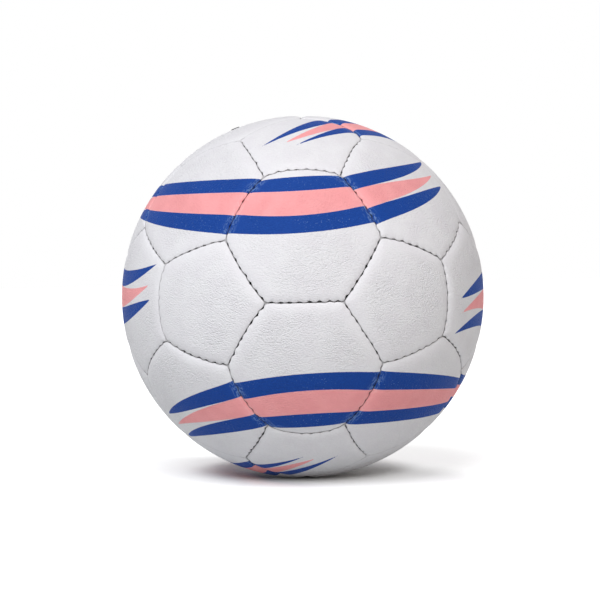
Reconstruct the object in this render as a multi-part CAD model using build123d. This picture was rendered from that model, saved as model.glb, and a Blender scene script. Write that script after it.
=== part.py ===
from build123d import *

import math
import os

# A hand-stitched handball in millimetres. Twenty hexagons and twelve pentagons of
# synthetic leather are sewn edge to edge over a rubber bladder with a push-in valve.
# The origin is the ball's centre, +Z is up, and the seam between two hexagons runs
# level across the front, which faces -Y.

# Ball
ball_circumference = 590.0

# Cover panels: a skin whose edges roll in and run down as sewing flanges
skin_thickness = 1.4
edge_roll = 2.6
seam_gap = 0.2

# Padding bonded inside each panel, between its flanges
foam_thickness = 2.0
lining_thickness = 1.2
glue_gap = 0.12

# Stitches: flat waxed thread along each side of a seam, which twists into a round strand
# where it crosses through both flanges at each hole
thread_width = 0.9
thread_thickness = 0.5
crossing_diameter = 0.7
stitch_pitch = 4.7
stitch_end_margin = 2.5
punch_clearance = 0.2
thread_clearance = 0.15

# Bladder
bladder_wall = 1.0
bladder_gap = 0.15

# Valve housing, moulded to the bladder behind the middle of one hexagon
housing_wall = 2.4
housing_length = 15.0
housing_flange_diameter = 24.0
housing_flange_thickness = 1.2
housing_clearance = 0.15

# Valve core, a plug that is pulled out through a hole in the panel. Its head sits in the
# housing and stands a little out of the panel.
valve_hole_diameter = 5.0
core_hole_clearance = 0.2
core_shank_diameter = 4.0
core_running_clearance = 0.04
core_head_depth = 1.2
core_head_proud = 0.45
core_head_round = 0.3
core_seat_gap = 0.1
core_length = 18.0
core_groove_depth = 0.25
core_groove_width = 0.8
core_groove_pitch = 2.4
core_groove_count = 3
needle_bore_diameter = 2.2
needle_bore_depth = 13.0
needle_countersink = 0.4
slit_width = 0.2

# Layers from the outside in, as radii about the ball's centre
ball_radius = ball_circumference / (2 * math.pi)
skin_inner_radius = ball_radius - skin_thickness
foam_outer_radius = skin_inner_radius - glue_gap
foam_inner_radius = foam_outer_radius - foam_thickness
lining_outer_radius = foam_inner_radius - glue_gap
lining_inner_radius = lining_outer_radius - lining_thickness
bladder_outer_radius = lining_inner_radius - bladder_gap
bladder_inner_radius = bladder_outer_radius - bladder_wall

# Distances from the middle plane of a seam, going into a panel
flange_outer_offset = seam_gap / 2
flange_inner_offset = flange_outer_offset + skin_thickness
inner_roll = edge_roll - skin_thickness
thread_offset = flange_inner_offset + thread_clearance
thread_room = thread_thickness + 2 * thread_clearance
pad_offset = flange_inner_offset + max(thread_room, inner_roll)

# The stitches run along the middle of the flat band of the flanges
flange_top_radius = ball_radius - edge_roll
stitch_radius = (flange_top_radius + lining_inner_radius) / 2
punch_diameter = crossing_diameter + 2 * punch_clearance

# The valve's fits
core_head_diameter = valve_hole_diameter - 2 * core_hole_clearance
housing_bore_diameter = core_shank_diameter + 2 * core_running_clearance
housing_counterbore_diameter = core_head_diameter + 2 * core_running_clearance
housing_diameter = max(housing_bore_diameter, housing_counterbore_diameter) + 2 * housing_wall
housing_passage_diameter = housing_diameter + 2 * housing_clearance
housing_top = math.sqrt((skin_inner_radius - glue_gap) ** 2 - (housing_diameter / 2) ** 2)
core_top = ball_radius + core_head_proud

# Panel centres: the pentagons sit on the corners of an icosahedron and the hexagons on
# the middles of its faces
golden = (1 + math.sqrt(5)) / 2
CENTRE = Vector(0, 0, 0)
HEX_SIDES = 6
PENT_SIDES = 5


def signed_turns(long_side):
    """The twelve directions (0, 1, long_side) with both signs and the axes turned round."""
    directions = []
    for first in (1, -1):
        for second in (1, -1):
            corner = (0, first, second * long_side)
            for shift in range(3):
                turned = corner[shift:] + corner[:shift]
                directions.append(Vector(*turned).normalized())
    return directions


def from_top(directions):
    """Directions in order from the top of the ball down, and round it at each level."""
    return sorted(directions, key=lambda d: (-round(d.Z, 6), round(math.atan2(d.Y, d.X), 6)))


def are_neighbours(one, other):
    """True for two icosahedron corners that share an edge."""
    return 0 < one.dot(other) < 0.9


def face_middles(corners):
    """The middle of each triangle of neighbouring corners."""
    middles = []
    for i, a in enumerate(corners):
        for j, b in enumerate(corners[:i]):
            for c in corners[:j]:
                if are_neighbours(a, b) and are_neighbours(b, c) and are_neighbours(a, c):
                    middles.append((a + b + c).normalized())
    return middles


pent_centres = from_top(signed_turns(golden))
hex_centres = from_top(face_middles(pent_centres))
valve_direction = Vector(-1 / golden, 0, golden).normalized()


def angle_between(one, other):
    """Angle between two unit directions, in radians."""
    return math.acos(max(-1.0, min(1.0, one.dot(other))))


def nearest(direction, others):
    """The nearest other direction, leaving out the direction itself."""
    apart = [other for other in others if angle_between(direction, other) > 1e-6]
    return min(apart, key=lambda other: round(angle_between(direction, other), 6))


# Angles from a panel's centre to its seams, and from a seam's middle to its ends
hex_tilt = angle_between(hex_centres[0], nearest(hex_centres[0], hex_centres)) / 2
pent_tilt = angle_between(pent_centres[0], nearest(pent_centres[0], hex_centres)) - hex_tilt
seam_half_angle = math.atan(math.tan(math.pi / HEX_SIDES) * math.sin(hex_tilt))

# Stitches along one seam, as angles from its middle
seam_length = 2 * seam_half_angle * ball_radius
stitch_count = int((seam_length - 2 * stitch_end_margin) / stitch_pitch) + 1
stitch_step = stitch_pitch / ball_radius
stitch_angles = [(k - (stitch_count - 1) / 2) * stitch_step for k in range(stitch_count)]


def ball(radius):
    """A solid ball whose surface has no seam line on its upper side."""
    return Solid.make_sphere(radius, plane=Plane(CENTRE, x_dir=(0, 0, -1), z_dir=(1, 0, 0)))


def seam_planes(sides, tilt):
    """The seams of a panel that is centred on +Z: x out along the seam's middle, z out of the panel."""
    planes = []
    for k in range(sides):
        turn = 2 * math.pi * k / sides
        level = Vector(math.cos(turn), math.sin(turn), 0)
        up = Vector(0, 0, 1)
        middle = level * math.sin(tilt) + up * math.cos(tilt)
        outward = level * math.cos(tilt) - up * math.sin(tilt)
        planes.append(Plane(CENTRE, x_dir=middle, z_dir=outward))
    return planes


def cell(sides, tilt, radius, offset):
    """A ball cut down to one panel's share, its sides moved in from the seams by the offset."""
    body = ball(radius)
    for plane in seam_planes(sides, tilt):
        body = body.split(plane.offset(-offset), keep=Keep.BOTTOM)
    return body


def rolled_cell(sides, tilt, radius, offset, roll):
    """A cell whose upper edges are rounded over into its sides."""
    body = cell(sides, tilt, radius, offset)
    crown = body.faces().filter_by(GeomType.SPHERE)[0]
    return body.fillet(roll, crown.outer_wire().edges())


def punches(sides, tilt):
    """Rods through the flanges of one panel, one for each stitch hole."""
    reach = 2 * flange_inner_offset + thread_room
    rods = []
    for plane in seam_planes(sides, tilt):
        for angle in stitch_angles:
            across = Vector(math.cos(angle), math.sin(angle), 0) * stitch_radius
            foot = plane.from_local_coords(across - Vector(0, 0, reach / 2))
            rods.append(Solid.make_cylinder(punch_diameter / 2, reach, Plane(foot, z_dir=plane.z_dir)))
    return rods


def cover_panel(sides, tilt):
    """The skin of one panel with its rolled edges and punched sewing flanges."""
    outside = rolled_cell(sides, tilt, ball_radius, flange_outer_offset, edge_roll)
    inside = rolled_cell(sides, tilt, skin_inner_radius, flange_inner_offset, inner_roll)
    tray = outside - inside - ball(lining_inner_radius)
    return tray.cut(*punches(sides, tilt)).solid()


def pad(sides, tilt, outer_radius, inner_radius):
    """One layer of padding, the shape of the room between the flanges."""
    return (cell(sides, tilt, outer_radius, pad_offset) - ball(inner_radius)).solid()


def thread_run(bottom):
    """The flat thread along one side of a seam, its lower face at the given height."""
    last = math.degrees(stitch_angles[-1] + crossing_diameter / stitch_radius)
    place = Plane.XZ * Pos(stitch_radius, bottom + thread_thickness / 2)
    section = place * Rectangle(thread_width, thread_thickness)
    band = revolve(section, axis=Axis.Z, revolution_arc=2 * last)
    return band.rotate(Axis.Z, -last).solid()


def seam_thread():
    """The thread of one seam, whose middle is on +X and whose plane is XY."""
    reach = thread_offset + thread_thickness / 2
    crossings = []
    for angle in stitch_angles:
        foot = Vector(math.cos(angle), math.sin(angle), 0) * stitch_radius - Vector(0, 0, reach)
        crossings.append(Solid.make_cylinder(crossing_diameter / 2, 2 * reach, Plane(foot)))
    near = thread_run(thread_offset)
    far = thread_run(-thread_offset - thread_thickness)
    return near.fuse(far, *crossings).solid()


def rod(diameter, bottom, top):
    """A round rod on the valve's axis, between two heights."""
    return Solid.make_cylinder(diameter / 2, top - bottom, Plane((0, 0, bottom)))


def valve_passage(diameter):
    """A rod right through the cover and the bladder on the valve's axis."""
    return rod(diameter, bladder_inner_radius - housing_length, ball_radius + edge_roll)


def valve_housing():
    """The tube that holds the core, with a flange against the inside of the bladder."""
    flange_radius = bladder_inner_radius - housing_clearance
    flange = ball(flange_radius) - ball(flange_radius - housing_flange_thickness)
    flange = flange & rod(housing_flange_diameter, 0, ball_radius)
    tube = rod(housing_diameter, housing_top - housing_length, housing_top)
    seat = housing_top - core_head_depth - core_seat_gap
    counterbore = rod(housing_counterbore_diameter, seat, ball_radius)
    bore = rod(housing_bore_diameter, 0, ball_radius)
    return (tube + flange - counterbore - bore).solid()


def valve_core():
    """The plug with its needle bore, sealing grooves and the slit that closes behind the needle."""
    tip = core_top - core_length
    head = rod(core_head_diameter, housing_top - core_head_depth, core_top)
    rim = head.edges().filter_by(GeomType.CIRCLE).sort_by(Axis.Z)[-1]
    head = head.fillet(core_head_round, [rim])
    body = head + rod(core_shank_diameter, tip, housing_top)
    for k in range(core_groove_count):
        low = tip + core_groove_pitch * (k + 1)
        ring = rod(core_shank_diameter + core_groove_depth, low, low + core_groove_width)
        body -= ring - rod(core_shank_diameter - 2 * core_groove_depth, low, low + core_groove_width)
    body -= rod(needle_bore_diameter, core_top - needle_bore_depth, core_top)
    mouth = Plane((0, 0, core_top - needle_countersink))
    body -= Solid.make_cone(
        needle_bore_diameter / 2, needle_bore_diameter / 2 + needle_countersink, needle_countersink, mouth
    )
    slit_height = core_length - needle_bore_depth
    slit = Plane((0, 0, tip)) * Box(
        slit_width, needle_bore_diameter, slit_height, align=(Align.CENTER, Align.CENTER, Align.MIN)
    )
    return (body - slit).solid()


def panel_place(centre, neighbour):
    """Where a panel made on +Z goes: its centre on the given direction, one seam towards the neighbour."""
    towards = neighbour - centre * centre.dot(neighbour)
    return Plane(CENTRE, x_dir=towards, z_dir=centre).location


def seam_place(one, other, tilt):
    """Where a seam made on +X goes: its middle at the tilt from one panel's centre towards the other's."""
    towards = (other - one * one.dot(other)).normalized()
    middle = one * math.cos(tilt) + towards * math.sin(tilt)
    outward = towards * math.cos(tilt) - one * math.sin(tilt)
    return Plane(CENTRE, x_dir=middle, z_dir=outward).location


def seam_places(ones, others, tilt):
    """The seams between neighbouring panels of two kinds, each seam once."""
    reach = angle_between(ones[0], nearest(ones[0], others)) + 1e-6
    places = []
    for i, one in enumerate(ones):
        for j, other in enumerate(others):
            counted = ones is others and j <= i
            if not counted and angle_between(one, other) < reach:
                places.append(seam_place(one, other, tilt))
    return places


def write(node, solids):
    """Writes one node: a single solid, or a group of separate ones."""
    shape = solids[0] if len(solids) == 1 else Compound(solids)
    export_step(shape, os.path.join("parts", node + ".step"))


def main():
    os.makedirs("parts", exist_ok=True)
    hex_places = [panel_place(c, nearest(c, pent_centres)) for c in hex_centres]
    pent_places = [panel_place(c, nearest(c, hex_centres)) for c in pent_centres]
    valve_index = min(range(len(hex_centres)), key=lambda k: angle_between(hex_centres[k], valve_direction))
    valve_place = hex_places[valve_index]
    plain_places = [place for place in hex_places if place is not valve_place]

    # Cover panels
    hex_panel = cover_panel(HEX_SIDES, hex_tilt)
    pent_panel = cover_panel(PENT_SIDES, pent_tilt)
    for k, place in enumerate(plain_places):
        write(f"hex_panel_{k + 1:02d}", [place * hex_panel])
    for k, place in enumerate(pent_places):
        write(f"pent_panel_{k + 1:02d}", [place * pent_panel])
    valve_panel = (hex_panel - valve_passage(valve_hole_diameter)).solid()
    write("valve_panel", [valve_place * valve_panel])

    # Padding
    layers = {
        "foam_pads": (foam_outer_radius, foam_inner_radius),
        "linings": (lining_outer_radius, lining_inner_radius),
    }
    for name, (outer, inner) in layers.items():
        hex_pad = pad(HEX_SIDES, hex_tilt, outer, inner)
        pent_pad = pad(PENT_SIDES, pent_tilt, outer, inner)
        valve_pad = (hex_pad - valve_passage(housing_passage_diameter)).solid()
        write(f"hex_{name}", [place * hex_pad for place in plain_places] + [valve_place * valve_pad])
        write(f"pent_{name}", [place * pent_pad for place in pent_places])

    # Stitches
    thread = seam_thread()
    hex_hex_places = seam_places(hex_centres, hex_centres, hex_tilt)
    hex_pent_places = seam_places(hex_centres, pent_centres, hex_tilt)
    write("hex_hex_seam_threads", [place * thread for place in hex_hex_places])
    write("hex_pent_seam_threads", [place * thread for place in hex_pent_places])

    # Bladder and valve
    bladder = ball(bladder_outer_radius) - ball(bladder_inner_radius)
    bladder = (bladder - valve_passage(housing_passage_diameter)).solid()
    write("bladder", [valve_place * bladder])
    write("valve_housing", [valve_place * valve_housing()])
    write("valve_core", [valve_place * valve_core()])
    print("stitches on each seam:", stitch_count)
    print("valve core's top, from the ball's centre:", round(core_top, 3))


main()
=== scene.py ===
import math

import bpy
import numpy as np
from mathutils import Matrix, Quaternion, Vector


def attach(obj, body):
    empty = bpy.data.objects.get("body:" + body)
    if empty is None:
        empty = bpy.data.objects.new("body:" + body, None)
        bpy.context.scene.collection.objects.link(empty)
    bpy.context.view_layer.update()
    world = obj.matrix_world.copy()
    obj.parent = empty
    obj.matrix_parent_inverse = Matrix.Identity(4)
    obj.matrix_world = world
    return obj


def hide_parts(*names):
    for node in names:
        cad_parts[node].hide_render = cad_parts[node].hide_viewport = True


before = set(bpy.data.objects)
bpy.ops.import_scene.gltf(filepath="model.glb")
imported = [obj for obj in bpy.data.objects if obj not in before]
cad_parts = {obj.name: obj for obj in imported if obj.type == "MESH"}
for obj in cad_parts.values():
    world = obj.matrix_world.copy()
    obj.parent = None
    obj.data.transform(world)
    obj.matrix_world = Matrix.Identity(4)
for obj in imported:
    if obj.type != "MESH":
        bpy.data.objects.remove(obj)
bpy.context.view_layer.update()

# A hand-stitched handball, dressed over its CAD frame. Lengths are millimetres about the
# ball's centre, unless a name says metres, and become metres when a piece is made.
MM = 0.001

# Grids of points on a panel: rings from its middle to its edge, closer together at the edge
cover_rows = 64
inner_rows = 16
edge_crowding = 1.7

# Skin of a cover panel, how its edge rolls into the seam, and how a stitch puckers it
skin_thickness = 1.4
shoulder_width = 6.5
shoulder_depth = 1.5
corner_blend = 0.5
pucker_depth = 0.2
pucker_width = 1.7

# Seams: half the open gap between two panels, wider where a stitch pulls them apart. A reach
# is a power of the share of the way from a panel's middle to its edge.
half_gap = 0.05
stitch_half_gap = 0.6
gap_reach = 24

# Stitches of a seam, how strongly each pulls, how far it lies to one side, and the share of
# that which all the stitches of a seam have in common
stitch_pitch = 4.7
stitch_count = 8
stitch_length = 1.15
stitch_jitter = 0.25
stitch_pulls = (0.55, 1.0)
zigzag = 1.1
zigzag_reach = 16
stitch_lean = 0.6

# How a seam bows between its corners, and the mean and spread of the bows that the photo
# does not show
bow_power = 2.5
bow_reach = 2
unseen_bow = (0.2, 0.8)
random_seed = 11

# How open a seam is beside a usual one, as a range, how far that blends at a corner, and how
# dark a seam and its stitch holes are painted, by dirt and by painted shade in the crevice
seam_openness = (0.75, 1.15)
openness_blend = 2.0
seam_dirt_and_shade = 0.45
stitch_hole_dirt_and_shade = 0.65

# Sewing thread, along both sides of a seam under the skin
thread_radius = 0.35
thread_offset = 1.95
thread_dip = 0.35
thread_sides = 8
thread_steps = 60

# Padding behind a panel, and the holes that the valve needs: the ring of a grid that becomes
# the hole's edge, and the lip as pairs of a radius and a depth below the ball
pad_inset = 2.9
pad_hole_radius = 5.0
valve_hole_radius = 2.5
valve_lip = ((2.75, 0.0), (2.58, 0.14), (valve_hole_radius, 0.45))
hole_ring = 8
inner_hole_ring = hole_ring * inner_rows // cover_rows

# How the photo sees the ball: the camera's turn about the ball's axes in degrees, its
# distance in ball radii, and the ball's middle and radius in the photo's pixels
photo_size = 600
photo_turn = (1.771, -0.990, 0.572)
photo_distance = 11.611
photo_middle = (302.79, 296.67)
photo_radius = 180.91
sensor_width = 36.0

# Light: the direction of each lamp, its level on a white surface that faces it, its spread
# in degrees and its colour, and how strongly the white surround lights the ball
KEY_LIGHT = ((-0.26, -0.68, 0.75), 0.77, 40, (0.965, 0.975, 1.0))
FILL_LIGHT = ((0.80, -0.60, 0.10), 0.15, 60, (1.0, 0.78, 0.62))
WORLD_LEVEL = 0.30

# Floor: its size in metres, its finish, and the light added where the camera sees it: painted
# light that lightens the ball's shadow, less just behind the ball's foot and more to its back
# right. The middle of each glow beside the ball's foot, where it starts and is full, all in ball
# radii, and its level
floor_metres = 8.0
floor_roughness = 0.9
floor_specular = 0.1
FLOOR_GLOWS = (
    ((0.0, 0.4), 0.46, 0.71, 0.30),
    ((-1.5, -1.5), 2.6, 3.0, 0.28),
)

# Colours, as linear light. A pair is the dark and the light one of a material. The floor has
# one colour for the camera and one for the light that it throws back.
WHITE = (0.83, 0.823, 0.845)
DULL_WHITE = (0.805, 0.79, 0.82)
# Painted shade in the hollows of the grain
GRAIN_HOLLOW_SHADE = (0.60, 0.59, 0.60)
BLUE = (0.011, 0.056, 0.292)
LIGHT_BLUE = (0.014, 0.072, 0.345)
# Painted highlights on the creases of the print
CREASE_HIGHLIGHT_BLUE = (0.18, 0.31, 0.62)
# Painted glints in fine specks on the blue print
BLUE_GLINT = (0.20, 0.32, 0.58)
PINK = (0.97, 0.405, 0.415)
DULL_PINK = (0.93, 0.37, 0.38)
CREASE_HIGHLIGHT_PINK = (0.97, 0.57, 0.57)
# Dirt and painted shade down in the seams and their stitch holes
SEAM_DIRT_AND_SHADE = (0.088, 0.082, 0.074)
FOAM_COLOURS = ((0.42, 0.38, 0.30), (0.74, 0.70, 0.60))
LINING_COLOURS = ((0.45, 0.44, 0.41), (0.72, 0.70, 0.66))
THREAD_COLOURS = ((0.30, 0.29, 0.27), (0.62, 0.60, 0.56))
BLADDER_COLOURS = ((0.02, 0.02, 0.021), (0.045, 0.044, 0.043))
VALVE_COLOURS = ((0.012, 0.012, 0.013), (0.03, 0.03, 0.031))
FLOOR_SEEN = (0.98, 0.98, 0.98)
FLOOR_THROWN = (0.68, 0.70, 0.695)
FULL_WHITE = (1, 1, 1, 1)

# Seams in the photo that leave the straight line between their corners: the direction of
# the seam's middle, and how far the middle lies off. A seam beside a pentagon bows
# towards it, one between two hexagons bows upwards, and the other way if negative.
SEAM_BOWS = (
    ((-0.27, -0.58, 0.77), 0.2),
    ((0.27, -0.58, 0.77), 1.3),
    ((0.00, -0.75, 0.67), 2.9),
    ((-0.31, -0.81, 0.50), 1.7),
    ((0.31, -0.81, 0.50), 0.8),
    ((-0.81, -0.50, 0.31), -0.4),
    ((-0.58, -0.77, 0.27), -0.9),
    ((0.58, -0.77, 0.27), -1.1),
    ((0.81, -0.50, 0.31), -0.8),
    ((-0.31, -0.94, 0.17), 1.0),
    ((0.31, -0.94, 0.17), 0.4),
    ((-0.75, -0.67, 0.00), -3.2),
    ((0.00, -1.00, 0.00), -0.1),
    ((0.75, -0.67, 0.00), -2.4),
    ((-0.31, -0.94, -0.17), 1.1),
    ((0.31, -0.94, -0.17), 0.0),
    ((-0.81, -0.50, -0.31), 1.5),
    ((-0.58, -0.77, -0.27), -1.4),
    ((0.58, -0.77, -0.27), -1.0),
    ((0.81, -0.50, -0.31), 2.0),
    ((-0.31, -0.81, -0.50), -2.0),
    ((0.31, -0.81, -0.50), -2.1),
    ((0.00, -0.75, -0.67), 4.0),
    ((-0.27, -0.58, -0.77), 0.1),
    ((0.27, -0.58, -0.77), 0.6),
    ((0.17, -0.31, 0.94), -7.0),
    ((-0.17, -0.31, -0.94), -5.5),
    ((-0.77, -0.27, 0.58), 6.0),
    ((0.77, -0.27, -0.58), 7.5),
)
# Seams that lie nearly or half closed in the photo: how open they are beside a usual seam, and
# the directions of their middles
QUIET_SEAMS = {
    0.2: (
        (-0.50, -0.31, 0.81),
        (0.50, -0.31, 0.81),
        (-0.50, -0.31, -0.81),
        (0.50, -0.31, -0.81),
        (-0.67, 0.00, 0.75),
        (0.67, 0.00, 0.75),
        (-0.67, 0.00, -0.75),
        (0.67, 0.00, -0.75),
        (-0.17, -0.31, 0.94),
        (0.17, -0.31, -0.94),
        (0.77, -0.27, 0.58),
        (-0.77, -0.27, -0.58),
    ),
    0.55: ((-0.75, -0.67, 0.00),),
}

# A printed stripe has a blue band, a pink one and a blue one, and crosses four panels.
# Each band has an upper and a lower edge on each panel, a smooth curve through a few
# points that give longitude from the front and latitude, in degrees. The bands run out
# into points on the first and the last panel.
STRIPE_EDGES = {
    "first": (
        (((-101.3, 36.2), (-90, 38.0), (-80, 39.5), (-70, 40.4)),
         ((-101.3, 36.2), (-90, 36.1), (-80, 36.0), (-70, 35.9))),
        (((-93.4, 32.8), (-80, 34.7), (-70, 35.9)),
         ((-93.4, 32.8), (-80, 31.65), (-70, 31.4))),
        (((-91.4, 29.5), (-80, 30.6), (-70, 31.4)),
         ((-91.4, 29.5), (-80, 28.85), (-70, 28.0))),
    ),
    "second": (
        (((-70, 39.45), (-50, 39.85), (-22, 40.2)), ((-70, 34.85), (-50, 35.0), (-22, 35.05))),
        (((-70, 34.85), (-50, 35.0), (-22, 35.05)), ((-70, 29.8), (-50, 28.6), (-24, 27.3))),
        (((-70, 29.8), (-50, 28.6), (-24, 27.3)), ((-65, 25.5), (-50, 23.6), (-25, 21.1))),
    ),
    "third": (
        (((-15, 39.65), (0, 40.65), (14, 41.0)), ((-15, 34.9), (0, 35.2), (18, 36.6))),
        (((-15, 34.9), (0, 35.2), (18, 36.6)), ((-20, 27.2), (0, 26.8), (20, 29.5))),
        (((-20, 27.2), (0, 26.8), (20, 29.5)), ((-20, 21.1), (0, 21.1), (20, 23.5))),
    ),
    "last": (
        (((20, 41.1), (40, 44.3), (65, 47.0)),
         ((22, 36.0), (26, 36.75), (40, 39.9), (65, 47.0))),
        (((22, 36.0), (26, 36.75), (45, 39.2), (60.4, 40.9)),
         ((22, 28.8), (26, 29.75), (40, 33.9), (60.4, 40.9))),
        (((22, 28.8), (26, 29.75), (40, 33.2), (60.9, 36.4)),
         ((24, 23.4), (40, 28.5), (60.9, 36.4))),
    ),
}
# How each of the six stripes is printed off its place, in degrees, where it is: to the east
# and north, more so on its first panel, in a bow to the north on its second, and how much
# further its points reach and rise on its last. The reach and the bow lie between longitudes.
STRIPE_SHIFTS = (
    {"north": -0.35, "first_east": -7.0, "first_north": -1.2, "reach": 8.5, "rise": 0.3},
    {"north": 0.35, "first_east": -7.0, "first_north": -2.4, "reach": 8.5, "rise": 1.0},
    {"east": -3.2, "north": 0.15},
    {"bow": 4.8},
    {"east": 2.8, "north": 0.5},
    {},
)
SHIFT_NAMES = ("east", "north", "first_east", "first_north", "bow", "reach", "rise")
NO_SHIFT = dict.fromkeys(SHIFT_NAMES, 0.0)
REACH_START = 30.0
REACH_END = 61.0
BOW_START = -66.0
BOW_END = -22.0

# What stands in a panel's fields where it has no print, or where no seam is near
NO_PRINT = -9.0
FAR_FROM_SEAM = 40.0

# Directions: the cosine above which two are the same, the one between neighbouring pentagons,
# how near a number is to the one it equals, the angle in degrees within which a seam's middle
# lies beside a pentagon's, and a direction off every panel's middle to count corners from
SAME_PLACE = 0.999
PENT_COSINE = 1 / math.sqrt(5)
CLOSE_TO = 1e-6
PENT_REACH = 18
COUNT_FROM = (0.3, 0.5, 0.8)


def unit(v):
    """Vectors made one long."""
    v = np.asarray(v, float)
    return v / np.linalg.norm(v, axis=-1, keepdims=True)


def turn_about(axis, degrees):
    """The matrix of a turn about an axis."""
    return np.array(Quaternion(Vector(axis), math.radians(degrees)).to_matrix())


def signed_turns(long_side):
    """The twelve directions (0, 1, long_side) with both signs and the axes turned round."""
    found = []
    for first in (1, -1):
        for second in (1, -1):
            corner = (0, first, second * long_side)
            found += [corner[k:] + corner[:k] for k in range(3)]
    return found


def node_points(node):
    """A CAD node's vertices, in millimetres."""
    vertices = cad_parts[node].data.vertices
    flat = np.empty(3 * len(vertices))
    vertices.foreach_get("co", flat)
    return flat.reshape(-1, 3) / MM


def radii(node):
    """The least and the greatest distance of a CAD node from the ball's centre."""
    lengths = np.linalg.norm(node_points(node), axis=1)
    return lengths.min(), lengths.max()


# Layers, from the CAD frame
flange_low, ball_radius = radii("hex_panel_01")
foam_low, foam_high = radii("hex_foam_pads")
lining_low, lining_high = radii("hex_linings")
stitch_radius = sum(radii("hex_hex_seam_threads")) / 2
skin_inner = ball_radius - skin_thickness

# Panels: pentagons on the corners of an icosahedron, hexagons on the middles of its faces,
# and the corners of the panels at the thirds of its edges
golden = (1 + math.sqrt(5)) / 2
cube_corners = [(x, y, z) for x in (1, -1) for y in (1, -1) for z in (1, -1)]
pent_centres = unit(signed_turns(golden))
hex_centres = unit(signed_turns(golden ** -2) + cube_corners)
valve_centre = unit((-1 / golden, 0, golden))
pent_pairs = [(a, b) for a in pent_centres for b in pent_centres]
neighbour_pents = [(a, b) for a, b in pent_pairs if abs(a @ b - PENT_COSINE) < CLOSE_TO]
corners = unit([2 * a + b for a, b in neighbour_pents])
corner_gap = np.sort(np.arccos(np.clip(corners[0] @ corners.T, -1, 1)))[1]
seam_half_length = corner_gap / 2 * ball_radius


class Panel:
    """One cover panel's place: its middle, and its corners anticlockwise from outside."""

    def __init__(self, centre):
        self.centre = centre
        self.sides = 5 if (pent_centres @ centre).max() > SAME_PLACE else 6
        across = unit(np.cross(centre, COUNT_FROM))
        up = np.cross(centre, across)
        near = np.argsort(-(corners @ centre))[: self.sides]
        turns = np.arctan2(corners[near] @ up, corners[near] @ across)
        self.loop = near[np.argsort(turns)]
        self.after = np.roll(self.loop, -1)
        self.inward = unit(np.cross(corners[self.loop], corners[self.after]))
        self.apothem = math.asin(self.inward[0] @ centre) * ball_radius
        self.flat_middle = centre * (corners[self.loop[0]] @ centre)


def all_seams(panels):
    """The pairs of corners that a seam joins, each once, lower number first."""
    pairs = {tuple(sorted(p)) for panel in panels for p in zip(panel.loop, panel.after)}
    return sorted((int(a), int(b)) for a, b in pairs)


hex_panels = [Panel(c) for c in hex_centres]
pent_panels = [Panel(c) for c in pent_centres]
seams = all_seams(hex_panels)
seam_number = {pair: k for k, pair in enumerate(seams)}
seam_ends = np.array(seams)
seam_starts = corners[seam_ends[:, 0]]
seam_stops = corners[seam_ends[:, 1]]
seam_normals = unit(np.cross(seam_starts, seam_stops))
seam_middles = unit(seam_starts + seam_stops)
nearest_pent = (seam_middles @ pent_centres.T).max(1)
beside_pent = nearest_pent > math.cos(math.radians(PENT_REACH))


def seam_sides():
    """+1 where a seam's normal points to its pentagon, or up between hexagons, and -1 if not."""
    pent = pent_centres[(seam_middles @ pent_centres.T).argmax(1)]
    level = np.abs(seam_normals[:, 2:]) < CLOSE_TO
    up = np.where(level, (1.0, 0.0, 0.0), (0.0, 0.0, 1.0))
    towards = np.where(beside_pent[:, None], pent, up)
    return np.sign((seam_normals * towards).sum(1))


def seam_at(middle):
    """The number of the seam whose middle lies nearest to a direction."""
    return (seam_middles @ unit(middle)).argmax()


# Every seam is a little different, by the same seeded draws each time
draws = np.random.default_rng(random_seed)
all_stitches = (len(seams), stitch_count)
seam_bow = draws.normal(*unseen_bow, len(seams))
stitch_places = (np.arange(stitch_count) - (stitch_count - 1) / 2) * stitch_pitch
stitch_places = stitch_places + draws.normal(0, stitch_jitter, all_stitches)
stitch_pull = draws.uniform(*stitch_pulls, all_stitches)
stitch_side = draws.uniform(-1.0, 1.0, all_stitches)
seam_open = draws.uniform(*seam_openness, len(seams))
for middle, bow in SEAM_BOWS:
    seam_bow[seam_at(middle)] = bow
for openness, middles in QUIET_SEAMS.items():
    for middle in middles:
        seam_open[seam_at(middle)] = openness
seam_bow = seam_bow * seam_sides()
stitch_pull = stitch_pull * seam_open[:, None]
# The stitches of a seam lean mostly to one side, the one that its first stitch lies on
stitch_side = (1 - stitch_lean) * stitch_side + stitch_lean * stitch_side[:, :1]


def at_stitches(amounts, seam, s):
    """Bumps of the given amounts at a seam's stitches, at distances s from its middle."""
    apart = (s[:, None] - stitch_places[seam]) / stitch_length
    return (amounts[seam] * np.exp(-apart ** 2)).sum(1)


def bow_at(seam, s):
    """How far a seam lies off its straight line."""
    share = np.clip(np.abs(s) / seam_half_length, 0, 1)
    return seam_bow[seam] * (1 - share ** bow_power)


class Grid:
    """Rings of points round a panel's middle: ring i has i points on each side."""

    def __init__(self, sides, rows, first=0):
        rings = range(first, rows + 1)
        counts = [max(sides * i, 1) for i in rings]
        self.sides, self.first = sides, first
        self.starts = dict(zip(rings, np.cumsum([0] + counts)))
        self.size = sum(counts)
        ring = np.repeat(list(rings), counts)
        step = np.concatenate([np.arange(n) for n in counts])
        on_side = np.maximum(ring, 1)
        self.side = step // on_side
        self.along = (step % on_side) / on_side
        self.depth = 1 - (1 - ring / rows) ** edge_crowding
        self.triangles = np.array([t for i in rings[1:] for t in self.ring_triangles(i)])

    def ring(self, i):
        """The point numbers of one ring."""
        return self.starts[i] + np.arange(max(self.sides * i, 1))

    def ring_triangles(self, i):
        """The triangles between ring i and the one inside it."""
        outer, inner = self.ring(i), self.ring(i - 1)
        for k in range(self.sides):
            for j in range(i):
                a = outer[k * i + j]
                b = outer[(k * i + j + 1) % len(outer)]
                c = inner[(k * (i - 1) + j) % len(inner)]
                yield a, b, c
                if j:
                    yield inner[k * (i - 1) + j - 1], a, c


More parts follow.
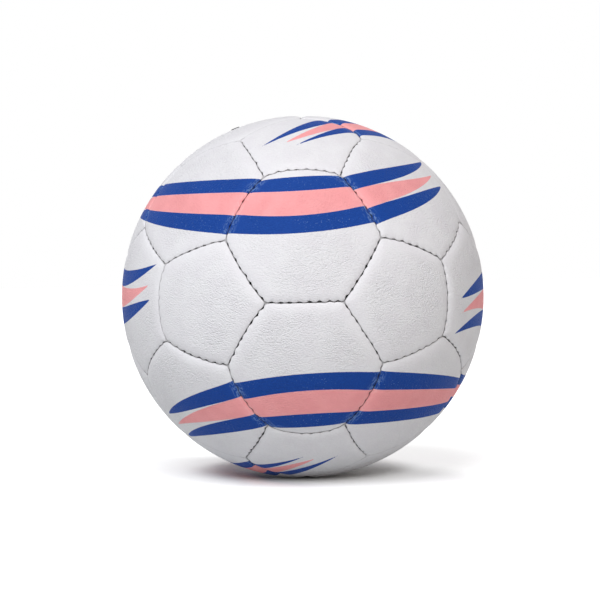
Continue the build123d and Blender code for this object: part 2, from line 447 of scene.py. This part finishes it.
def strip(ring, lower):
    """Triangles between two rings of as many points, facing away from their middle."""
    after, lower_after = np.roll(ring, -1), np.roll(lower, -1)
    one = np.stack([ring, lower, lower_after], 1)
    other = np.stack([ring, lower_after, after], 1)
    return np.concatenate([one, other])


def zip_rings(ring, inner):
    """Triangles between a ring and one of fewer points inside it, facing the ball's centre."""
    ratio = len(ring) // len(inner)
    found = []
    for j in range(len(ring)):
        near = inner[((j + ratio // 2) // ratio) % len(inner)]
        found.append((ring[(j + 1) % len(ring)], ring[j], near))
        after = inner[((j + 1 + ratio // 2) // ratio) % len(inner)]
        if after != near:
            found.append((ring[(j + 1) % len(ring)], near, after))
    return np.array(found)


class Spots:
    """Points of a panel, bent to its seams: directions, and where each lies by its seam."""

    def __init__(self, panel, side, along, depth):
        start, stop = panel.loop[side], panel.after[side]
        edge = corners[start] * (1 - along)[:, None] + corners[stop] * along[:, None]
        flat = panel.flat_middle * (1 - depth)[:, None] + edge * depth[:, None]
        straight = unit(flat)
        numbers = [seam_number[min(a, b), max(a, b)] for a, b in zip(panel.loop, panel.after)]
        self.seam = np.array(numbers)[side]
        share = np.where(start < stop, along, 1 - along)
        self.s = (2 * share - 1) * seam_half_length
        apart = np.arcsin(np.clip(straight @ panel.inward.T, -1, 1)) * ball_radius
        near = -corner_blend * np.log(np.exp(-apart / corner_blend).sum(1))
        self.from_seam = np.maximum(near, 0)
        weight = np.exp(-(apart - apart.min(1, keepdims=True)) / openness_blend)
        self.open = weight @ seam_open[numbers] / weight.sum(1)
        side_step = bow_at(self.seam, self.s) * depth ** bow_reach
        side_step += zigzag * at_stitches(stitch_side, self.seam, self.s) * depth ** zigzag_reach
        bent = straight + seam_normals[self.seam] * (side_step / ball_radius)[:, None]
        self.direction = unit(bent)
        self.pull = at_stitches(stitch_pull, self.seam, self.s)
        # How dark the seam is painted here: dirt, and painted shade in the crevice and the stitch
        # holes
        self.dirt_and_shade = np.minimum(seam_dirt_and_shade * self.open + stitch_hole_dirt_and_shade * self.pull, 1)


def edge_depth(panel, side, along, depth):
    """Depths drawn back from the seam by half its gap, only near the edge."""
    spots = Spots(panel, side, along, depth)
    gap = half_gap + stitch_half_gap * np.minimum(spots.pull, 1)
    return depth * (1 - gap / panel.apothem * depth ** gap_reach)


def opened(panel, spots, depth, first_depth, radius):
    """Directions with a panel's middle opened to a round hole of the given radius."""
    middle = panel.centre
    aside = spots.direction - (spots.direction @ middle)[:, None] * middle
    angle = np.arccos(np.clip(spots.direction @ middle, -1, 1))
    share = (depth - first_depth) / (1 - first_depth)
    wanted = radius / ball_radius - angle * first_depth / depth
    angle = angle + wanted * np.maximum(1 - share, 0) ** 2
    return np.cos(angle)[:, None] * middle + np.sin(angle)[:, None] * unit(aside)


def sunk(spots):
    """How far the skin lies below the ball at each point: rolled edges, puckered at stitches."""
    share = np.clip(spots.from_seam / shoulder_width, 0, 1)
    roll = shoulder_depth * spots.open * (1 - np.sqrt(1 - (1 - share) ** 2))
    pucker = pucker_depth * spots.pull * np.exp(-(spots.from_seam / pucker_width) ** 2)
    return roll + pucker


def smooth_curve(points, x):
    """The curve of lowest degree through a few points."""
    places, heights = np.transpose(points)
    middle = places.mean()
    return np.polyval(np.polyfit(places - middle, heights, len(points) - 1), x - middle)


def stripe_turns():
    """The six stripes' turns from the front upper one: about the valve, and upside down."""
    about_valve = turn_about(valve_centre, 360 / 3)
    over = np.diag((-1.0, 1.0, -1.0))
    upper = (np.eye(3), about_valve, about_valve.T)
    return (upper[0], over, upper[1], over @ upper[1], upper[2], over @ upper[2])


STRIPE_PANELS = {
    "first": unit((-golden, 0, 1)),
    "second": unit((-1, -1, 1)),
    "third": unit((0, -golden, 1 / golden)),
    "last": unit((1, -1, 1)),
}


def printed_place(name, turn, shift, directions):
    """Longitudes and latitudes of points as one panel of a stripe is printed."""
    x, y, z = (directions @ turn).T
    longitude = np.degrees(np.arctan2(x, -y)) - shift["east"]
    latitude = np.degrees(np.arcsin(np.clip(z, -1, 1))) - shift["north"]
    if name == "first":
        longitude = longitude - shift["first_east"]
        latitude = latitude - shift["first_north"]
    if name == "second":
        share = np.clip((longitude - BOW_START) / (BOW_END - BOW_START), 0, 1)
        latitude = latitude - shift["bow"] * np.sin(math.pi * share)
    if name == "last":
        full_reach = REACH_END - REACH_START + shift["reach"]
        beyond = np.maximum(longitude - REACH_START, 0) / full_reach
        longitude = longitude - beyond * shift["reach"]
        latitude = latitude - beyond * shift["rise"]
    return longitude, latitude


def printed(panel, directions):
    """How far inside each of the three bands the points lie, in millimetres."""
    inside = np.full((len(directions), 3), NO_PRINT)
    degree = math.radians(ball_radius)
    for turn, shifts in zip(stripe_turns(), STRIPE_SHIFTS):
        for name, middle in STRIPE_PANELS.items():
            if (turn @ middle) @ panel.centre < SAME_PLACE:
                continue
            longitude, latitude = printed_place(name, turn, NO_SHIFT | shifts, directions)
            for k, (upper, lower) in enumerate(STRIPE_EDGES[name]):
                below = smooth_curve(upper, longitude) - latitude
                above = latitude - smooth_curve(lower, longitude)
                band = np.minimum(below, above) * degree
                if name == "first":
                    band = np.where(longitude < upper[0][0], NO_PRINT, band)
                if name == "last":
                    band = np.where(longitude > upper[-1][0], NO_PRINT, band)
                inside[:, k] = np.maximum(inside[:, k], band)
    return inside


def make_piece(name, points, triangles, material, replaced):
    """A mesh piece on the ball's body, in place of one CAD node. Its points are millimetres."""
    mesh = bpy.data.meshes.new(name)
    mesh.from_pydata((np.asarray(points) * MM).tolist(), [], np.asarray(triangles).tolist())
    mesh.materials.append(material)
    mesh.shade_smooth()
    piece = bpy.data.objects.new(name, mesh)
    bpy.context.scene.collection.objects.link(piece)
    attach(piece, "ball")
    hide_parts(replaced)
    return piece


def add_field(piece, name, values):
    """Three numbers on each point of a piece, for its material."""
    field = piece.data.attributes.new(name, "FLOAT_VECTOR", "POINT")
    field.data.foreach_set("vector", np.asarray(values, np.float32).ravel())


GRIDS = {}


def grid_of(sides, rows, first):
    """A grid, made once for all panels of a kind."""
    key = (sides, rows, first)
    if key not in GRIDS:
        GRIDS[key] = Grid(*key)
    return GRIDS[key]


def cover_mesh(panel, has_hole):
    """The skin of a panel as one closed tray: its points, triangles and seam field."""
    first = hole_ring if has_hole else 0
    grid = grid_of(panel.sides, cover_rows, first)
    depth = edge_depth(panel, grid.side, grid.along, grid.depth)
    spots = Spots(panel, grid.side, grid.along, depth)
    out = spots.direction
    if has_hole:
        out = opened(panel, spots, depth, grid.depth[0], valve_lip[0][0])
    points = [out * (ball_radius - sunk(spots))[:, None]]
    triangles = [grid.triangles]
    seam_field = [np.stack([spots.from_seam, spots.s, spots.dirt_and_shade], 1)]
    total = grid.size

    # The flange: down the outside, across its foot and up the inside
    rim = grid.ring(cover_rows)
    side, along, edge = grid.side[rim], grid.along[rim], depth[rim]
    inside_edge = edge * (1 - skin_thickness / panel.apothem)
    outer = Spots(panel, side, along, edge).direction
    inner = Spots(panel, side, along, inside_edge).direction
    rim_radius = np.linalg.norm(points[0][rim], axis=1)[:, None]
    walls = (
        outer * (rim_radius + flange_low) / 2,
        outer * flange_low,
        inner * flange_low,
        inner * skin_inner,
    )
    ring = rim
    for wall in walls:
        lower = total + np.arange(len(rim))
        triangles.append(strip(ring, lower))
        points.append(wall)
        ring = lower
        total += len(rim)
        # The flange's walls lie down in the seam and take its full dirt and painted shade
        at_seam = np.stack([np.zeros(len(rim)), spots.s[rim], spots.dirt_and_shade[rim]], 1)
        seam_field.append(at_seam)

    # The inside of the skin, on a coarser grid
    back = grid_of(panel.sides, inner_rows, inner_hole_ring if has_hole else 0)
    back_depth = back.depth * (1 - 2 * skin_thickness / panel.apothem)
    back_spots = Spots(panel, back.side, back.along, back_depth)
    behind = back_spots.direction
    if has_hole:
        behind = opened(panel, back_spots, back_depth, back_depth[0], pad_hole_radius)
    points.append(behind * skin_inner)
    triangles.append(back.triangles[:, ::-1] + total)
    triangles.append(zip_rings(ring, total + back.ring(inner_rows)))
    seam_field.append(np.tile((FAR_FROM_SEAM, 0.0, 0.0), (back.size, 1)))
    back_start = total
    total += back.size

    # The valve's hole: a rounded lip, then down to the inside of the skin
    if has_hole:
        ring = grid.ring(first)
        middle = panel.centre
        aside = unit(out[ring] - (out[ring] @ middle)[:, None] * middle)
        heights = [ball_radius - drop for _, drop in valve_lip[1:]] + [skin_inner]
        widths = [radius for radius, _ in valve_lip[1:]] + [valve_hole_radius]
        for width, height in zip(widths, heights):
            lower = total + np.arange(len(ring))
            triangles.append(strip(ring, lower)[:, ::-1])
            points.append(middle * math.sqrt(height ** 2 - width ** 2) + aside * width)
            seam_field.append(np.tile((FAR_FROM_SEAM, 0.0, 0.0), (len(ring), 1)))
            ring = lower
            total += len(ring)
        triangles.append(zip_rings(ring, back_start + back.ring(back.first))[:, ::-1])
    return np.concatenate(points), np.concatenate(triangles), np.concatenate(seam_field)


def make_cover(node, panel, material):
    """The padded cover panel that stands for one CAD panel."""
    points, triangles, seam_field = cover_mesh(panel, node == "valve_panel")
    piece = make_piece(node + "_cover", points, triangles, material, node)
    add_field(piece, "printed", printed(panel, unit(points)))
    add_field(piece, "seam", seam_field)


def pad_mesh(panel, low, high):
    """One padding layer behind a panel: a closed slab between two radii."""
    has_hole = panel.centre @ valve_centre > SAME_PLACE
    grid = grid_of(panel.sides, inner_rows, inner_hole_ring if has_hole else 0)
    depth = grid.depth * (1 - pad_inset / panel.apothem)
    spots = Spots(panel, grid.side, grid.along, depth)
    out = spots.direction
    if has_hole:
        out = opened(panel, spots, depth, depth[0], pad_hole_radius)
    rim = grid.ring(inner_rows)
    triangles = [grid.triangles, grid.triangles[:, ::-1] + grid.size, strip(rim, rim + grid.size)]
    if has_hole:
        hole = grid.ring(grid.first)
        triangles.append(strip(hole, hole + grid.size)[:, ::-1])
    return np.concatenate([out * high, out * low]), np.concatenate(triangles)


def join_meshes(meshes):
    """Several point and triangle lists as one."""
    points, triangles, total = [], [], 0
    for some_points, some_triangles in meshes:
        points.append(some_points)
        triangles.append(some_triangles + total)
        total += len(some_points)
    return np.concatenate(points), np.concatenate(triangles)


def make_pads(name, panels, low, high, material, node):
    """The padding of all panels of a kind, as one piece."""
    points, triangles = join_meshes([pad_mesh(panel, low, high) for panel in panels])
    piece = make_piece(name, points, triangles, material, node)


def tube(path, side_a, side_b, radius):
    """A round tube along a path, closed at its ends: side_a and side_b span its cross-section."""
    turns = np.linspace(0, 2 * math.pi, thread_sides, endpoint=False)
    ways = np.cos(turns)[:, None] * side_a[:, None] + np.sin(turns)[:, None] * side_b[:, None]
    rings = path[:, None] + ways * radius
    numbers = np.arange(len(path) * thread_sides).reshape(len(path), thread_sides)
    triangles = [strip(a, b)[:, ::-1] for a, b in zip(numbers[:-1], numbers[1:])]
    for ring, tip in ((numbers[0][::-1], numbers.size), (numbers[-1], numbers.size + 1)):
        triangles.append(np.stack([ring, np.roll(ring, -1), np.full(len(ring), tip)], 1))
    points = np.concatenate([rings.reshape(-1, 3), path[:1], path[-1:]])
    return points, np.concatenate(triangles)


def seam_thread(number):
    """The thread of one seam: a run on each side, and strands through the holes."""
    normal = seam_normals[number]
    last = stitch_places[number].max() + stitch_length
    first = stitch_places[number].min() - stitch_length

    def on_seam(s):
        """Directions along the bowed seam, at distances s from its middle."""
        share = ((s / seam_half_length + 1) / 2)[:, None]
        straight = unit(seam_starts[number] * (1 - share) + seam_stops[number] * share)
        bow = bow_at(np.full(len(s), number), s)
        return unit(straight + normal * (bow / ball_radius)[:, None])

    tubes = []
    s = np.linspace(first, last, thread_steps)
    out = on_seam(s)
    dips = at_stitches(np.ones_like(stitch_pull), np.full(len(s), number), s)
    offset = thread_offset - thread_dip * np.minimum(dips, 1)
    across = np.tile(normal, (len(s), 1))
    for sign in (1, -1):
        path = out * stitch_radius + across * (sign * offset)[:, None]
        tubes.append(tube(path, out, across, thread_radius))
    reach = np.array([-1.0, 1.0])[:, None] * (thread_offset - thread_dip)
    for hole in on_seam(stitch_places[number]):
        path = hole * stitch_radius + normal * reach
        along = np.cross(normal, hole)
        tubes.append(tube(path, np.tile(along, (2, 1)), np.tile(-hole, (2, 1)), thread_radius))
    return join_meshes(tubes)


def make_threads(name, numbers, material, node):
    """The sewing of all seams of a kind, as one piece."""
    points, triangles = join_meshes([seam_thread(n) for n in numbers])
    make_piece(name, points, triangles, material, node)


class Nodes:
    """Short-hand for building one material's nodes."""

    def __init__(self, name):
        self.material = bpy.data.materials.new(name)
        self.material.use_nodes = True
        self.tree = self.material.node_tree
        self.shader = self.tree.nodes["Principled BSDF"]

    def add(self, kind, **settings):
        """A new node with the given settings."""
        node = self.tree.nodes.new("ShaderNode" + kind)
        for key, value in settings.items():
            setattr(node, key, value)
        return node

    def feed(self, socket, value):
        """Gives a socket a fixed value, or links another node's output to it."""
        if isinstance(value, bpy.types.NodeSocket):
            self.tree.links.new(value, socket)
        else:
            socket.default_value = value

    def math(self, operation, a, b):
        """A sum, product or the like of two values."""
        node = self.add("Math", operation=operation)
        self.feed(node.inputs[0], a)
        self.feed(node.inputs[1], b)
        return node.outputs[0]

    def times(self, a, b):
        """The product of two values."""
        return self.math("MULTIPLY", a, b)

    def ramp(self, value, low, high, start=0.0, end=1.0):
        """A smooth step of a value from start at low to end at high."""
        node = self.add("MapRange", interpolation_type="SMOOTHSTEP")
        for socket, given in zip(node.inputs, (value, low, high, start, end)):
            self.feed(socket, given)
        return node.outputs[0]

    def mix(self, share, one, other):
        """One colour, with a share of another."""
        node = self.add("Mix", data_type="RGBA")
        for k, given in ((0, share), (6, one), (7, other)):
            colour = isinstance(given, tuple) and len(given) == 3
            self.feed(node.inputs[k], given + (1.0,) if colour else given)
        return node.outputs[2]

    def place(self):
        """Where a point is, in millimetres."""
        coordinates = self.add("TexCoord")
        node = self.add("VectorMath", operation="SCALE")
        self.feed(node.inputs[0], coordinates.outputs["Object"])
        node.inputs["Scale"].default_value = 1 / MM
        return node.outputs[0]

    def stretched(self, where, by):
        """Places multiplied by a number for each axis."""
        node = self.add("VectorMath", operation="MULTIPLY")
        self.feed(node.inputs[0], where)
        node.inputs[1].default_value = by
        return node.outputs[0]

    def distance(self, where, spot):
        """How far places are from a spot."""
        node = self.add("VectorMath", operation="DISTANCE")
        self.feed(node.inputs[0], where)
        node.inputs[1].default_value = spot
        return node.outputs["Value"]

    def noise(self, where, size, detail=2.0, roughness=0.5):
        """Soft noise with lumps of about the given size in millimetres, from 0 to 1."""
        node = self.add("TexNoise")
        self.feed(node.inputs["Vector"], where)
        node.inputs["Scale"].default_value = 1 / size
        node.inputs["Detail"].default_value = detail
        node.inputs["Roughness"].default_value = roughness
        return node.outputs["Fac"]

    def cells(self, where, size):
        """Distances from the middles of cells of about the given size in millimetres."""
        node = self.add("TexVoronoi", feature="F1")
        self.feed(node.inputs["Vector"], where)
        node.inputs["Scale"].default_value = 1 / size
        return node.outputs["Distance"]

    def field(self, name):
        """The three numbers of a piece's field."""
        node = self.add("SeparateXYZ")
        attribute = self.add("Attribute", attribute_name=name)
        self.feed(node.inputs[0], attribute.outputs["Vector"])
        return node.outputs

    def bump(self, height, strength, distance):
        """Surface relief from a height, whose full step is the given distance in metres."""
        node = self.add("Bump")
        node.inputs["Strength"].default_value = strength
        node.inputs["Distance"].default_value = distance
        self.feed(node.inputs["Height"], height)
        self.feed(self.shader.inputs["Normal"], node.outputs[0])

    def finish(self, colour, roughness):
        """The material with its colour and roughness."""
        self.feed(self.shader.inputs["Base Color"], colour)
        self.feed(self.shader.inputs["Roughness"], roughness)
        return self.material


# Leather grain: pebbles and wrinkles, drawn out along the axes, the part of each in the
# relief, the relief's strength and height in metres, and the sizes of broader unevenness
grain_stretch = (0.75, 0.85, 1.25)
pebble_size = 0.85
pebble_height = 0.8
wrinkle_size = 0.45
wrinkle_height = 0.5
GRAIN_RELIEF = (1.0, 0.00048)
broad_size = 9.0
uneven_size = 28.0
leather_specular = 0.07

# Print on the leather: how far its edge wanders and blurs, its creases beside the seams with their
# painted highlights, drawn out across the seam, along it and from place to place, and the specks
# of painted glints on its blue
print_wander = 0.35
print_blur = 0.12
crease_stretch = (1.5, 0.28, 14.0)
crease_size = 1.0
crease_height = 0.3
crease_highlight_blue_share = 0.75
crease_highlight_pink_share = 0.45
glint_patch_size = 35.0
glint_speck_size = 0.75
glint_share = 0.4

# Ramps in the leather: the two values of what each follows, and what it gives at those, 0 and
# 1 where not said. Those of creases, of the seam's dirt and painted shade, and of flat grain
# follow the distance from the seam.
BROAD_RAMP = (0.3, 0.7)
GRAIN_SHADE_RAMP = (-0.35, 0.05, 0.10, 0.0)
BLUE_RAMP = (0.35, 0.75)
CREASE_RAMP = (4.5, 0.6)
STREAK_RAMP = (0.47, 0.60)
GLINT_PATCH_RAMP = (0.48, 0.60)
GLINT_SPECK_RAMP = (0.66, 0.74)
SEAM_DARK_RAMP = (0.55, 0.08)
FLAT_GRAIN_RAMP = (1.0, 10.0, 0.4, 1.0)
UNEVEN_RAMP = (0.38, 0.62, 0.6, 1.0)
LEATHER_ROUGHNESS = (0.2, 0.8, 0.48, 0.64)


def leather_material():
    """White synthetic leather with fine grain and printed bands, dirt and painted shade along the
    seams, painted highlights on the print's creases, and painted glints in specks on its blue.
    """
    n = Nodes("printed_leather")
    where = n.place()
    top, pink, low = n.field("printed")
    from_seam, along_seam, dirt_and_shade = n.field("seam")

    # Grain: small pebbles, crossed by finer wrinkles
    drawn_out = n.stretched(where, grain_stretch)
    pebbles = n.times(n.cells(drawn_out, pebble_size), pebble_height)
    wrinkles = n.noise(drawn_out, wrinkle_size, detail=3.0, roughness=0.6)
    grain = n.math("SUBTRACT", n.times(wrinkles, wrinkle_height), pebbles)

    # White, a little uneven, and greyer in the hollows of the grain as painted shade
    broad = n.noise(where, broad_size)
    dull = n.ramp(broad, *BROAD_RAMP)
    white = n.mix(dull, WHITE, DULL_WHITE)
    white = n.mix(n.ramp(grain, *GRAIN_SHADE_RAMP), white, GRAIN_HOLLOW_SHADE)

    # The print's edge wanders a little with the grain
    wander = n.times(n.math("SUBTRACT", wrinkles, 0.5), print_wander)
    blue_in = n.math("ADD", n.math("MAXIMUM", top, low), wander)
    pink_in = n.math("ADD", pink, wander)
    blue_share = n.ramp(blue_in, -print_blur, print_blur)
    pink_share = n.ramp(pink_in, -print_blur, print_blur)

    # Creases in the print, drawn out along the seams where the skin rolls in: relief, and painted
    # highlights
    by_seam = n.add("CombineXYZ")
    for k, value in enumerate((from_seam, along_seam, broad)):
        n.feed(by_seam.inputs[k], n.times(value, crease_stretch[k]))
    streaks = n.noise(by_seam.outputs[0], crease_size, detail=3.0, roughness=0.65)
    creases_and_highlights = n.times(n.ramp(streaks, *STREAK_RAMP), n.ramp(from_seam, *CREASE_RAMP))

    # Blue and pink, paler in the creases as painted highlights, and blue paler in fine specks as
    # painted glints
    glint_patches = n.ramp(n.noise(where, glint_patch_size), *GLINT_PATCH_RAMP)
    glint_specks = n.ramp(n.noise(where, glint_speck_size, detail=1.0), *GLINT_SPECK_RAMP)
    glints = n.times(glint_specks, glint_patches)
    blue = n.mix(n.ramp(wrinkles, *BLUE_RAMP), BLUE, LIGHT_BLUE)
    blue = n.mix(n.times(creases_and_highlights, crease_highlight_blue_share), blue, CREASE_HIGHLIGHT_BLUE)
    blue = n.mix(n.times(glints, glint_share), blue, BLUE_GLINT)
    rose = n.mix(dull, PINK, DULL_PINK)
    rose = n.mix(n.times(creases_and_highlights, crease_highlight_pink_share), rose, CREASE_HIGHLIGHT_PINK)
    colour = n.mix(blue_share, white, blue)
    colour = n.mix(pink_share, colour, rose)

    # Dirt down in the seam, with painted shade in its crevice and its stitch holes
    seam_dark_share = n.times(n.ramp(from_seam, *SEAM_DARK_RAMP), dirt_and_shade)
    colour = n.mix(seam_dark_share, colour, SEAM_DIRT_AND_SHADE)

    # The grain is drawn flat beside the seams, and is flatter in some places than in others
    flat = n.ramp(from_seam, *FLAT_GRAIN_RAMP)
    uneven = n.ramp(n.noise(where, uneven_size), *UNEVEN_RAMP)
    lively_grain = n.times(grain, n.times(flat, uneven))
    blue_creases = n.times(n.times(creases_and_highlights, blue_share), crease_height)
    n.bump(n.math("ADD", lively_grain, blue_creases), *GRAIN_RELIEF)
    n.shader.inputs["Specular IOR Level"].default_value = leather_specular
    return n.finish(colour, n.ramp(wrinkles, *LEATHER_ROUGHNESS))


# Foam: the size of its pores, their relief as for the leather, and how its colour and
# roughness follow them
pore_size = 0.9
PORE_RELIEF = (0.6, 0.0004)
PORE_RAMP = (0.1, 0.55)
FOAM_ROUGHNESS = (0.1, 0.6, 0.95, 0.8)


def foam_material():
    """Off-white latex foam with open pores."""
    n = Nodes("latex_foam")
    pores = n.cells(n.place(), pore_size)
    n.bump(pores, *PORE_RELIEF)
    colour = n.mix(n.ramp(pores, *PORE_RAMP), *FOAM_COLOURS)
    return n.finish(colour, n.ramp(pores, *FOAM_ROUGHNESS))


# Cloth and thread: the size of one thread, how wide its wave is beside that, the parts of weave
# and fuzz in the shade, its relief, and how the roughness follows the fuzz
lining_thread_size = 0.5
sewing_thread_size = 0.25
wave_width = 3.2
weave_part = 0.75
fuzz_part = 0.25
WEAVE_RELIEF = (0.6, 0.0003)
CLOTH_ROUGHNESS = (0.2, 0.8, 0.75, 0.92)


def woven_material(name, dark, light, thread_size):
    """Plain woven cloth, from two crossing sets of waves."""
    n = Nodes(name)
    where = n.place()
    waves = []
    for direction in ("X", "Z"):
        wave = n.add("TexWave", wave_type="BANDS", bands_direction=direction)
        n.feed(wave.inputs["Vector"], where)
        wave.inputs["Scale"].default_value = 1 / (wave_width * thread_size)
        waves.append(wave.outputs["Fac"])
    weave = n.times(n.math("ADD", *waves), 1 / len(waves))
    fuzz = n.noise(where, thread_size / 2, detail=3.0)
    shade = n.math("ADD", n.times(weave, weave_part), n.times(fuzz, fuzz_part))
    n.bump(shade, *WEAVE_RELIEF)
    return n.finish(n.mix(shade, dark, light), n.ramp(fuzz, *CLOTH_ROUGHNESS))


# Rubber: the sizes of its mottling and specks, the relief of the specks, and how colour and
# roughness follow them
mottle_size = 3.0
rubber_speck_size = 0.35
SPECK_RELIEF = (0.25, 0.0001)
MOTTLE_RAMP = (0.35, 0.7)
RUBBER_ROUGHNESS = (0.3, 0.7, 0.42, 0.62)


def rubber_material(name, dark, light):
    """Moulded rubber, dusty and faintly mottled."""
    n = Nodes(name)
    where = n.place()
    mottle = n.noise(where, mottle_size, detail=4.0, roughness=0.6)
    specks = n.noise(where, rubber_speck_size)
    n.bump(specks, *SPECK_RELIEF)
    colour = n.mix(n.ramp(mottle, *MOTTLE_RAMP), dark, light)
    return n.finish(colour, n.ramp(specks, *RUBBER_ROUGHNESS))


def dress(node, material):
    """Gives a CAD node that stays a finished material."""
    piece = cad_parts[node]
    piece.data.materials.clear()
    piece.data.materials.append(material)


def build_ball():
    """Every piece of the ball."""
    leather = leather_material()
    panels = hex_panels + pent_panels
    middles = np.array([panel.centre for panel in panels])
    for node in sorted(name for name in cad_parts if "panel" in name):
        centre = unit(node_points(node).mean(0))
        make_cover(node, panels[(middles @ centre).argmax()], leather)
    foam = foam_material()
    lining = woven_material("lining_cloth", *LINING_COLOURS, lining_thread_size)
    for kind, group in (("hex", hex_panels), ("pent", pent_panels)):
        pads, cloths = f"{kind}_foam_pads", f"{kind}_linings"
        make_pads(f"{kind}_padding", group, foam_low, foam_high, foam, pads)
        make_pads(f"{kind}_backing", group, lining_low, lining_high, lining, cloths)
    cord = woven_material("waxed_thread", *THREAD_COLOURS, sewing_thread_size)
    hex_hex, hex_pent = np.flatnonzero(~beside_pent), np.flatnonzero(beside_pent)
    make_threads("hex_hex_sewing", hex_hex, cord, "hex_hex_seam_threads")
    make_threads("hex_pent_sewing", hex_pent, cord, "hex_pent_seam_threads")
    dress("bladder", rubber_material("bladder_rubber", *BLADDER_COLOURS))
    valve_rubber = rubber_material("valve_rubber", *VALVE_COLOURS)
    dress("valve_housing", valve_rubber)
    dress("valve_core", valve_rubber)


def add_sun(name, towards, level, spread, colour):
    """Soft light from one side: level is how bright it makes a white surface that faces it."""
    lamp = bpy.data.lights.new(name, "SUN")
    lamp.energy = level * math.pi
    lamp.angle = math.radians(spread)
    lamp.color = colour
    thing = bpy.data.objects.new(name, lamp)
    bpy.context.scene.collection.objects.link(thing)
    thing.location = Vector(towards)
    thing.rotation_euler = (-Vector(towards)).to_track_quat("-Z", "Y").to_euler()


def seen_directly(tree):
    """A value that is 1 for what the camera sees, also in gloss and through glass, or else 0."""
    path = tree.nodes.new("ShaderNodeLightPath")
    value = path.outputs["Is Camera Ray"]
    for other in ("Is Glossy Ray", "Is Transmission Ray"):
        most = tree.nodes.new("ShaderNodeMath")
        most.operation = "MAXIMUM"
        tree.links.new(value, most.inputs[0])
        tree.links.new(path.outputs[other], most.inputs[1])
        value = most.outputs[0]
    return value


def light_scene():
    """A white surround, a broad light from the upper front left, and a weak one from the right."""
    world = bpy.data.worlds.new("studio")
    bpy.context.scene.world = world
    world.use_nodes = True
    tree = world.node_tree
    background = tree.nodes["Background"]
    background.inputs["Color"].default_value = FULL_WHITE
    level = tree.nodes.new("ShaderNodeMapRange")
    tree.links.new(seen_directly(tree), level.inputs["Value"])
    level.inputs["To Min"].default_value = WORLD_LEVEL
    level.inputs["To Max"].default_value = 1.0
    tree.links.new(level.outputs[0], background.inputs["Strength"])
    add_sun("key", *KEY_LIGHT)
    add_sun("fill", *FILL_LIGHT)


def add_floor(low, size):
    """A white floor that keeps the ball's shadow, lightened by a painted glow where the camera
    sees it.
    """
    mesh = bpy.data.meshes.new("floor")
    half = size / 2
    square = [(-half, -half, low), (half, -half, low), (half, half, low), (-half, half, low)]
    mesh.from_pydata(square, [], [(0, 1, 2, 3)])
    floor = bpy.data.objects.new("floor", mesh)
    bpy.context.scene.collection.objects.link(floor)
    n = Nodes("floor_white")
    seen = seen_directly(n.tree)
    where = n.place()
    lift = 0.0
    # Painted light: each glow lightens the ball's shadow, less just behind its foot and more off
    # to the back right
    for (x, y), start, full, level in FLOOR_GLOWS:
        away = n.distance(where, (x * ball_radius, y * ball_radius, -ball_radius))
        glow = n.ramp(away, start * ball_radius, full * ball_radius, 0.0, level)
        lift = n.math("ADD", lift, glow)
    n.feed(n.shader.inputs["Emission Strength"], n.times(seen, lift))
    n.shader.inputs["Emission Color"].default_value = FULL_WHITE
    n.shader.inputs["Specular IOR Level"].default_value = floor_specular
    n.finish(n.mix(seen, FLOOR_THROWN, FLOOR_SEEN), floor_roughness)
    mesh.materials.append(n.material)


def add_camera():
    """The camera where the photo was taken from: it faces the ball's middle."""
    turn = Vector(photo_turn)
    back = Quaternion(turn.normalized(), math.radians(turn.length)).to_matrix().transposed()
    right, forward, up = (back @ Vector(axis) for axis in ((1, 0, 0), (0, 1, 0), (0, 0, 1)))
    lens = bpy.data.cameras.new("camera")
    focal = photo_radius * math.sqrt(photo_distance ** 2 - 1)
    lens.sensor_width = sensor_width
    lens.lens = focal / photo_size * sensor_width
    lens.shift_x = (photo_size / 2 - photo_middle[0]) / photo_size
    lens.shift_y = (photo_middle[1] - photo_size / 2) / photo_size
    camera = bpy.data.objects.new("camera", lens)
    bpy.context.scene.collection.objects.link(camera)
    facing = Matrix((right, up, -forward)).transposed()
    place = -forward * photo_distance * ball_radius * MM
    camera.matrix_world = Matrix.Translation(place) @ facing.to_4x4()
    bpy.context.scene.camera = camera


build_ball()
add_camera()
light_scene()
add_floor(low=-ball_radius * MM, size=floor_metres)
bpy.context.scene.view_settings.view_transform = "Standard"
